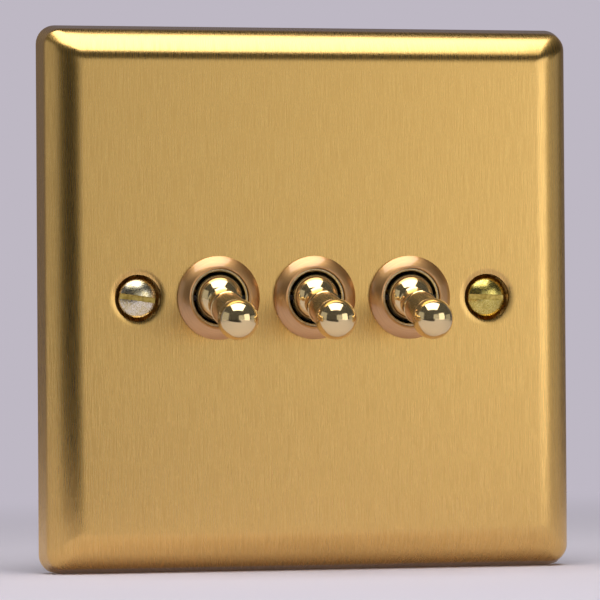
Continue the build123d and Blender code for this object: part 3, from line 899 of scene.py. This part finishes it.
@dataclass
class ToggleStation:
    """One gang's collar, bush, lever and plunger spring."""

    gang: str  # left, middle or right
    tip: float = 14.0  # angle that the lever hangs down at rest, in degrees
    pivot_rise: float = 0.3  # distance of the pivot in front of the plate's face
    collar_edge: float = 0.5  # height of the collar's upright edge
    collar_lip: float = 0.35  # width of the lip at the collar's bore
    collar_bulge: float = 0.12  # how far the collar's slope stands out from a straight cone
    lip_fall: float = 0.03  # how far the collar's lip dips towards its bore
    bore: float = 4.45  # radius of the bush's bore
    bush: float = 4.9  # outer radius of the bush
    thread: float = 4.92  # radius of the collar's bore
    bell: float = 0.2  # width of the bevel at the bush's mouth
    flange: float = 1.0  # thickness of the bush's flange
    ridge: float = 0.06  # height of the ridges in the bush's bore
    ridge_pitch: float = 0.4  # distance between them
    ridged: tuple[float, float] = (0.15, 2.4)  # where they begin and end, behind the bush's mouth
    ball: float = 3.4  # radius of the lever's ball
    reach: float = 15.45  # distance from the pivot to the ball's centre
    neck: float = 2.6  # radius of the neck behind the ball
    flare: float = 2.85  # radius of the neck's rear edge
    neck_start: float = 7.4  # distance from the pivot to that edge
    bead: float = 0.1  # how far a bead on that edge stands out
    waist: float = 1.95  # smallest radius of the cove behind it
    mouth: float = 2.5  # radius where the cove meets the dome
    dome: float = 4.0  # radius of the dome
    tail: float = 2.6  # outer radius of the tail
    tail_bore: float = 1.5  # radius of its bore
    tail_end: float = 8.0  # distance from the pivot to the tail's end
    bore_floor: float = 2.6  # distance from the pivot to the bore's floor
    edge: float = 0.1  # width of the chamfers that a lathe leaves on sharp edges
    coil: float = 1.05  # radius of the plunger spring at its wire's middle
    wire: float = 0.2  # radius of that wire
    turns: int = 3  # number of the spring's turns
    spring_room: float = 2.8  # length of the spring at rest
    press: float = 0.8  # travel of the plunger

    def place(self) -> Matrix:
        """Returns the gang's place across the plate."""
        return Matrix.Translation((gang_x(self.gang) * MM, 0, 0))

    def collar(self) -> None:
        """Builds the domed collar: upright edge, bulged slope and a narrow lip at the bore."""
        outer, top, base = extents(f"collar_{self.gang}")
        lip = self.thread + self.collar_lip
        edge = base - self.collar_edge
        run, rise = outer - lip, edge - top
        slope = hypot(run, rise)
        crown = (
            (outer + lip) / 2 + self.collar_bulge * rise / slope,
            (edge + top) / 2 - self.collar_bulge * run / slope,
        )
        dip = top + self.lip_fall
        runs = [
            [(self.thread, base), (outer - self.edge, base), (outer, base - self.edge)],
            arc_through((outer, edge), crown, (lip, top), steps=28),
            [(lip - self.edge, top + self.lip_fall / 2), (self.thread + self.edge, dip)],
            [(self.thread, dip + self.edge), (self.thread, base)],
        ]
        nodes = [f"collar_{self.gang}"]
        piece = Piece(f"collar_ring_{self.gang}", "switch_body", nodes, "satin_brass", SATIN_BRASS)
        piece.build([moved(turned(runs), self.place())])

    def sleeve(self) -> None:
        """Builds the bush: a sleeve with fine ridges in the mouth of its bore, and its flange."""
        rim, front, back = extents(f"bush_{self.gang}")
        behind = np.linspace(*self.ridged, num=46)
        bore = self.bore + self.ridge * np.abs((behind / self.ridge_pitch % 1.0) * 2 - 1)
        mouth = (self.bore + self.bell, front)
        shelf = back - self.flange
        runs = [
            [mouth, (self.bush - self.edge, front), (self.bush, front + self.edge)],
            [(self.bush, shelf), (rim, shelf), (rim, back), (self.bore, back)],
            spread(bore, front + behind)[::-1],
            [mouth],
        ]
        nodes = [f"bush_{self.gang}"]
        piece = Piece(f"bush_sleeve_{self.gang}", "switch_body", nodes, "nickel", NICKEL)
        piece.build([moved(turned(runs), self.place())])

    def lever(self) -> None:
        """Builds the lever: ball, neck flared to a crisp rear edge, cove, dome and bored tail."""
        ball_foot = sqrt(self.ball**2 - self.neck**2)
        mouth_y = -sqrt(self.dome**2 - self.mouth**2)
        taper_y = sqrt(self.dome**2 - self.tail**2)
        waist = (self.waist, (mouth_y - self.neck_start) / 2)
        flare = (self.flare - self.edge, -self.neck_start)
        ball = arc((0, -self.reach), self.ball, -90, degrees(asin(ball_foot / self.ball)), steps=56)
        ball[0, 0] = 0.0
        runs = [
            ball,
            [(self.flare, -self.neck_start - 3 * self.edge)],
            [(self.flare + self.bead, -self.neck_start - 2 * self.edge)],
            [(self.flare + self.bead, -self.neck_start - self.edge)],
            arc_through(flare, waist, (self.mouth, mouth_y), steps=26),
            arc((0, 0), self.dome, -degrees(acos(self.mouth / self.dome)), 0, steps=28)[1:],
            [(self.tail, taper_y), (self.tail, self.tail_end), (self.tail_bore, self.tail_end)],
            [(self.tail_bore, self.bore_floor), (0, self.bore_floor)],
        ]
        body = f"lever_{self.gang}"
        piece = Piece(f"toggle_{self.gang}", body, [body], "polished_brass", POLISHED_BRASS)
        piece.build([moved(turned(runs), self.hang())])

    def hang(self) -> Matrix:
        """Returns the lever's place: its pivot, turned down to its angle at rest."""
        pivot = Matrix.Translation((0, (extents("front_plate")[1] - self.pivot_rise) * MM, 0))
        return self.place() @ pivot @ Matrix.Rotation(radians(self.tip), 4, "X")

    def spring(self) -> None:
        """Builds the plunger's spring, coiled out from the bore's floor."""
        first = self.bore_floor + self.wire
        coil = coiled(self.coil, self.wire, first, self.spring_room - 2 * self.wire, self.turns)
        body, nodes = f"lever_{self.gang}", [f"plunger_spring_{self.gang}"]
        piece = Piece(f"plunger_coil_{self.gang}", body, nodes, "spring_steel", SPRING_STEEL)
        made = piece.build([moved(coil, self.hang())])
        floor = self.hang() @ Vector((0, self.bore_floor * MM, 0))
        along = self.hang().to_3x3() @ Vector((0, 1, 0))
        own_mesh(made)

    def build(self) -> None:
        """Builds the four pieces of the gang."""
        self.collar()
        self.sleeve()
        self.lever()
        self.spring()


@dataclass
class RearWorks:
    """Everything behind the plate: CAD pieces with their edges eased and their finishes."""

    # Finish, material slot and width of the rounded edges, in mm, of pieces that show
    eased: dict[str, tuple[Finish, str, float]] = field(
        default_factory=lambda: {
            "mounting_strap": (ZINC_STEEL, "zinc_steel", 0.12),
            "earth_terminal": (TERMINAL_BRASS, "terminal_brass", 0.2),
            "earth_screw": (TERMINAL_BRASS, "terminal_brass", 0.12),
            "lock_washer": (ZINC_STEEL, "zinc_steel", 0.06),
            "back_nut": (NICKEL, "nickel", 0.25),
            "frame": (ZINC_STEEL, "zinc_steel", 0.12),
            "case": (PHENOLIC, "phenolic", 0.22),
            "terminal_screws": (ZINC_STEEL, "zinc_steel", 0.12),
        }
    )
    # Finish of the inner pieces, which keep their CAD shape
    kept: dict[str, Finish] = field(
        default_factory=lambda: {
            "pivot_pin": BLACK_STEEL_PAINTED_SHADE,
            "plunger": NYLON,
            "rocker": TERMINAL_BRASS,
            "moving_contacts": CONTACT_SILVER,
            "fixed_contacts": CONTACT_SILVER,
            "com_terminal": TERMINAL_BRASS,
            "l1_terminal": TERMINAL_BRASS,
            "l2_terminal": TERMINAL_BRASS,
        }
    )
    merge: float = 0.001  # largest distance between merged points, in mm
    flat_within: float = 0.5  # faces that turn by less than this become one, in degrees
    crease: float = 35.0  # edges sharper than this stay crisp, in degrees
    round_from: float = 40.0  # edges sharper than this are rounded, in degrees

    def family(self, node: str) -> str:
        """Returns a node's name without its gang."""
        head, _, gang = node.rpartition("_")
        return head if gang in GANGS else node

    def ease(self, node: str, finish: Finish, slot: str, width: float) -> None:
        """Stands a copy with rounded edges for a CAD node.

        Args:
            node: the CAD node.
            finish: its material.
            slot: the record's material slot.
            width: width of the rounding, in mm.
        """
        mesh = frame["nodes"][node].data.copy()
        mesh.name = f"{node}_eased"
        work = bmesh.new()
        work.from_mesh(mesh)
        bmesh.ops.remove_doubles(work, verts=work.verts, dist=self.merge * MM)
        limit = radians(self.flat_within)
        bmesh.ops.dissolve_limit(work, angle_limit=limit, verts=work.verts, edges=work.edges)
        work.to_mesh(mesh)
        work.free()
        body = frame["nodes"][node]["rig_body"]
        made = Piece(f"{node}_eased", body, [node], slot, finish, self.crease).place(mesh)
        bevel = made.modifiers.new("eased_edges", "BEVEL")
        bevel.width = width * MM
        bevel.segments = 2
        bevel.limit_method = "ANGLE"
        bevel.angle_limit = radians(self.round_from)
        bevel.harden_normals = True

    def build(self) -> None:
        """Eases the pieces that show and gives the inner ones their finishes."""
        for node, cad in frame["nodes"].items():
            family = self.family(node)
            if family in self.eased:
                self.ease(node, *self.eased[family])
            elif family in self.kept:
                cad.data.materials.clear()
                cad.data.materials.append(self.kept[family].material())


# Studio


@dataclass
class Softbox:
    """Area lamp that metal shows as an even bright panel."""

    name: str  # the lamp's name
    centre: tuple[float, float, float]  # its middle in the frame, in mm
    aim: tuple[float, float, float]  # the point of the frame that it faces, in mm
    size: tuple[float, float]  # its width and height, in mm
    radiance: float  # brightness of its face, where 1 shows as white
    roll: float = 0.0  # turn about the line to the aim, in degrees

    def build(self) -> None:
        """Adds the lamp; its power is radiance times pi times its area."""
        lamp = bpy.data.lights.new(self.name, "AREA")
        lamp.shape = "RECTANGLE"
        lamp.size, lamp.size_y = (length * MM for length in self.size)
        lamp.energy = self.radiance * pi * lamp.size * lamp.size_y
        made = add_object(self.name, lamp)
        centre, aim = Vector(self.centre) * MM, Vector(self.aim) * MM
        facing_aim = (aim - centre).to_track_quat("-Z", "Y").to_matrix().to_4x4()
        roll = Matrix.Rotation(radians(self.roll), 4, "Z")
        made.matrix_world = Matrix.Translation(centre) @ facing_aim @ roll
        made.visible_camera = False
        log.info("lamp %s: %.2f W", self.name, lamp.energy)


@dataclass
class Studio:
    """Pale sweep, dim room and soft lamps."""

    floor_colour: str = "#E6DFEA"  # sRGB hex of the sweep's paint
    painted_dark_reflection_colour: str = "#101010"  # sRGB hex of the painted dark reflection: the front left floor as the metal sees it
    back_colour: str = "#BEB8C4"  # sRGB hex that the far sweep and the room show behind the object
    room_colour: str = "#FFFFFF"  # sRGB hex of the unlit room
    back_level: float = 1.0  # brightness of the far sweep to the camera
    mirror_level: float = 0.33  # brightness of the far sweep in the metal
    room_level: float = 0.03  # brightness of the unlit room
    floor_glow_in_metal: float = 0.05  # painted glow: brightness that the floor gains in the metal
    extent: float = 6000.0  # half width of the sweep, and its reach to the front, in mm
    cove: float = 900.0  # radius of the curve between floor and wall, in mm
    cove_from: float = 1700.0  # distance behind the plate where that curve begins, in mm
    wall_top: float = 4000.0  # height of the wall's top in the frame, in mm
    # For each mask on the sweep, what it runs along and where it is 0 and 1, in m
    fades: dict[str, tuple[str, float, float]] = field(
        default_factory=lambda: {
            "behind": ("Y", 0.05, 0.35),
            "deep": ("Y", 0.5, 1.2),
            "away": ("distance", 0.3, 0.6),
            # front and left mark the corner of the floor that is painted dark for the metal: a
            # painted dark reflection
            "front": ("Y", -0.15, -0.19),
            "left": ("X", 0.02, -0.02),
        }
    )
    # The soft lamps
    lamps: list[Softbox] = field(
        default_factory=lambda: [
            Softbox("overhead_softbox", (-48, -163, 520), (-48, -163, 0), (556, 517), 3.5, -13.4),
            Softbox("front_right_panel", (70, -596, 102), (0, 0, 102), (333, 296), 0.57),
            Softbox("right_bright_panel", (371, -471, 127), (0, 0, 127), (345, 346), 1.55),
            Softbox("far_right_card", (590, -100, 57), (0, 0, 57), (400, 206), 0.34),
            Softbox("left_card", (-600, -10, 157), (0, 0, 157), (509, 406), 0.45),
        ]
    )

    def sweep(self) -> None:
        """Builds the floor that rises into a backdrop: a straight run, a quarter arc and a wall."""
        floor_z = float(CAD_BOX[0].z) / MM
        curve = arc((self.cove_from, floor_z + self.cove), self.cove, 270, 360, steps=24)
        top = (self.cove_from + self.cove, self.wall_top)
        side = np.concatenate([[(-self.extent, floor_z)], curve, [top]])
        grid = facing(np.linspace(-self.extent, self.extent, num=3), side[:, :1], side[:, 1:])
        mesh = bpy.data.meshes.new("sweep")
        mesh.from_pydata(grid.points.reshape(-1, 3).tolist(), [], grid.quads(0).tolist())
        mesh.shade_smooth()
        mesh.materials.append(self.sweep_material())
        add_object("sweep", mesh)

    def sweep_material(self) -> bpy.types.Material:
        """Matt painted sweep: lit near the object, plain further off, painted dark at the front
        left for the metal only.

        The plain colour goes to the camera and, dimmer and only far behind, to the metal. Only the
        metal sees the painted dark reflection and the floor's painted glow.

        Returns:
            The material.
        """
        made = bpy.data.materials.new("matt_painted_sweep")
        tree = bare_tree(made)
        place = add_node(tree, "TexCoord").outputs["Object"]
        distance = add_node(tree, "VectorMath", {"operation": "LENGTH"}, {0: place})
        split = add_node(tree, "SeparateXYZ", None, {0: place}).outputs
        along = {"X": split["X"], "Y": split["Y"], "distance": distance.outputs["Value"]}
        fade = {}
        for name, (source, none, full) in self.fades.items():
            inputs = {"Value": along[source], "From Min": none, "From Max": full}
            fade[name] = add_node(tree, "MapRange", SMOOTH, inputs)
        path = add_node(tree, "LightPath")
        camera, glossy = path.outputs["Is Camera Ray"], path.outputs["Is Glossy Ray"]
        # Painted dark reflection: the front left of the floor shows near black to the metal only
        corner = add_node(tree, "Math", TIMES, {0: fade["front"], 1: fade["left"]})
        dark_in_metal = add_node(tree, "Math", TIMES, {0: corner, 1: glossy})
        plain = add_node(tree, "Math", LARGER, {0: fade["behind"], 1: fade["away"]})
        seen = add_node(tree, "Math", TIMES, {0: plain, 1: camera})
        mirrored = add_node(tree, "Math", TIMES, {0: fade["deep"], 1: glossy})
        share = add_node(tree, "Math", LARGER, {0: seen, 1: mirrored})
        # Painted glow: the floor shows brighter in the metal than its lamps make it
        painted_floor_glow = add_node(tree, "Math", TIMES, {0: glossy, 1: self.floor_glow_in_metal})
        ends = {6: linear(self.floor_colour), 7: linear(self.painted_dark_reflection_colour)}
        colour = add_node(tree, "Mix", COLOURS, {0: dark_in_metal, **ends}).outputs[2]
        levels = {"To Min": self.mirror_level, "To Max": self.back_level}
        level = add_node(tree, "MapRange", None, {"Value": camera, **levels})
        paint = add_node(tree, "BsdfDiffuse", None, {"Color": colour})
        floor_glow = add_node(tree, "Emission", None, {"Color": colour, "Strength": painted_floor_glow})
        near = add_node(tree, "AddShader", None, {0: paint, 1: floor_glow})
        back = linear(self.back_colour)
        glow = add_node(tree, "Emission", None, {"Color": back, "Strength": level})
        both = add_node(tree, "MixShader", None, {0: share, 1: near, 2: glow})
        add_node(tree, "OutputMaterial", None, {"Surface": both})
        return made

    def room(self) -> None:
        """Sets the world: dim to the metal, pale to the camera."""
        world = bpy.data.worlds.new("room")
        bpy.context.scene.world = world
        tree = bare_tree(world)
        camera = add_node(tree, "LightPath").outputs["Is Camera Ray"]
        dim = {"Color": linear(self.room_colour), "Strength": self.room_level}
        pale = {"Color": linear(self.back_colour), "Strength": self.back_level}
        dark_in_metal, lit = (add_node(tree, "Background", None, look) for look in (dim, pale))
        both = add_node(tree, "MixShader", None, {0: camera, 1: dark_in_metal, 2: lit})
        add_node(tree, "OutputWorld", None, {"Surface": both})

    def build(self) -> None:
        """Adds the sweep, the room and the lamps."""
        self.sweep()
        self.room()
        for lamp in self.lamps:
            lamp.build()
        bpy.context.scene.view_settings.view_transform = "Standard"


@dataclass
class PhotoCamera:
    """Camera fitted to the photograph's plate edges."""

    azimuth: float = -13.436  # turn round the plate, in degrees
    elevation: float = -0.669  # height above the horizon, in degrees
    distance: float = 721.65  # distance from the middle of the plate's face, in mm
    focal: float = 4293.7  # focal length in pixels
    image: float = 600.0  # width of the image in pixels
    centre: tuple[float, float] = (314.295, 297.637)  # pixel where the middle of the face lies
    roll: float = -0.379  # turn about the line of sight, in degrees
    sensor: float = 36.0  # width of the sensor, in mm
    nearest: float = 10.0  # distance where its view begins, in mm

    def build(self) -> None:
        """Adds the camera and makes it the scene's own."""
        az, el, roll = (radians(angle) for angle in (self.azimuth, self.elevation, self.roll))
        face = Vector((0, extents("front_plate")[1], 0))
        back = Vector((sin(az) * cos(el), -cos(az) * cos(el), sin(el)))
        right = (-back).cross(Vector((0, 0, 1))).normalized()
        up = right.cross(-back)
        right, up = right * cos(roll) + up * sin(roll), up * cos(roll) - right * sin(roll)
        eye = face + back * self.distance
        scale = self.distance / self.focal
        off_x, off_y = self.centre[0] - self.image / 2, self.image / 2 - self.centre[1]
        look = (face - right * off_x * scale - up * off_y * scale - eye).normalized()
        right = (right - look * right.dot(look)).normalized()
        up = right.cross(look)
        turn = Matrix((right, up, -look)).transposed().to_4x4()
        lens = bpy.data.cameras.new("photo_camera")
        lens.sensor_fit = "HORIZONTAL"
        lens.sensor_width = self.sensor
        lens.lens = self.focal / self.image * self.sensor
        lens.clip_start = self.nearest * MM
        made = add_object("photo_camera", lens)
        made.matrix_world = Matrix.Translation(eye * MM) @ turn
        bpy.context.scene.camera = made


def main() -> None:
    """Builds the pieces, the studio and the camera in order."""
    logging.basicConfig(level=logging.INFO, format="%(name)s %(message)s")
    FrontPlate().build()
    for side, slot_turn, plating in ((-1, 8.0, PALE_SCREW), (1, 2.0, YELLOW_SCREW)):
        FixingScrew(side, slot_turn, plating, SLOT_PLATING_AND_SHADE).build()
    for gang in GANGS:
        ToggleStation(gang).build()
    RearWorks().build()
    Studio().build()
    PhotoCamera().build()


if __name__ == "__main__":
    main()
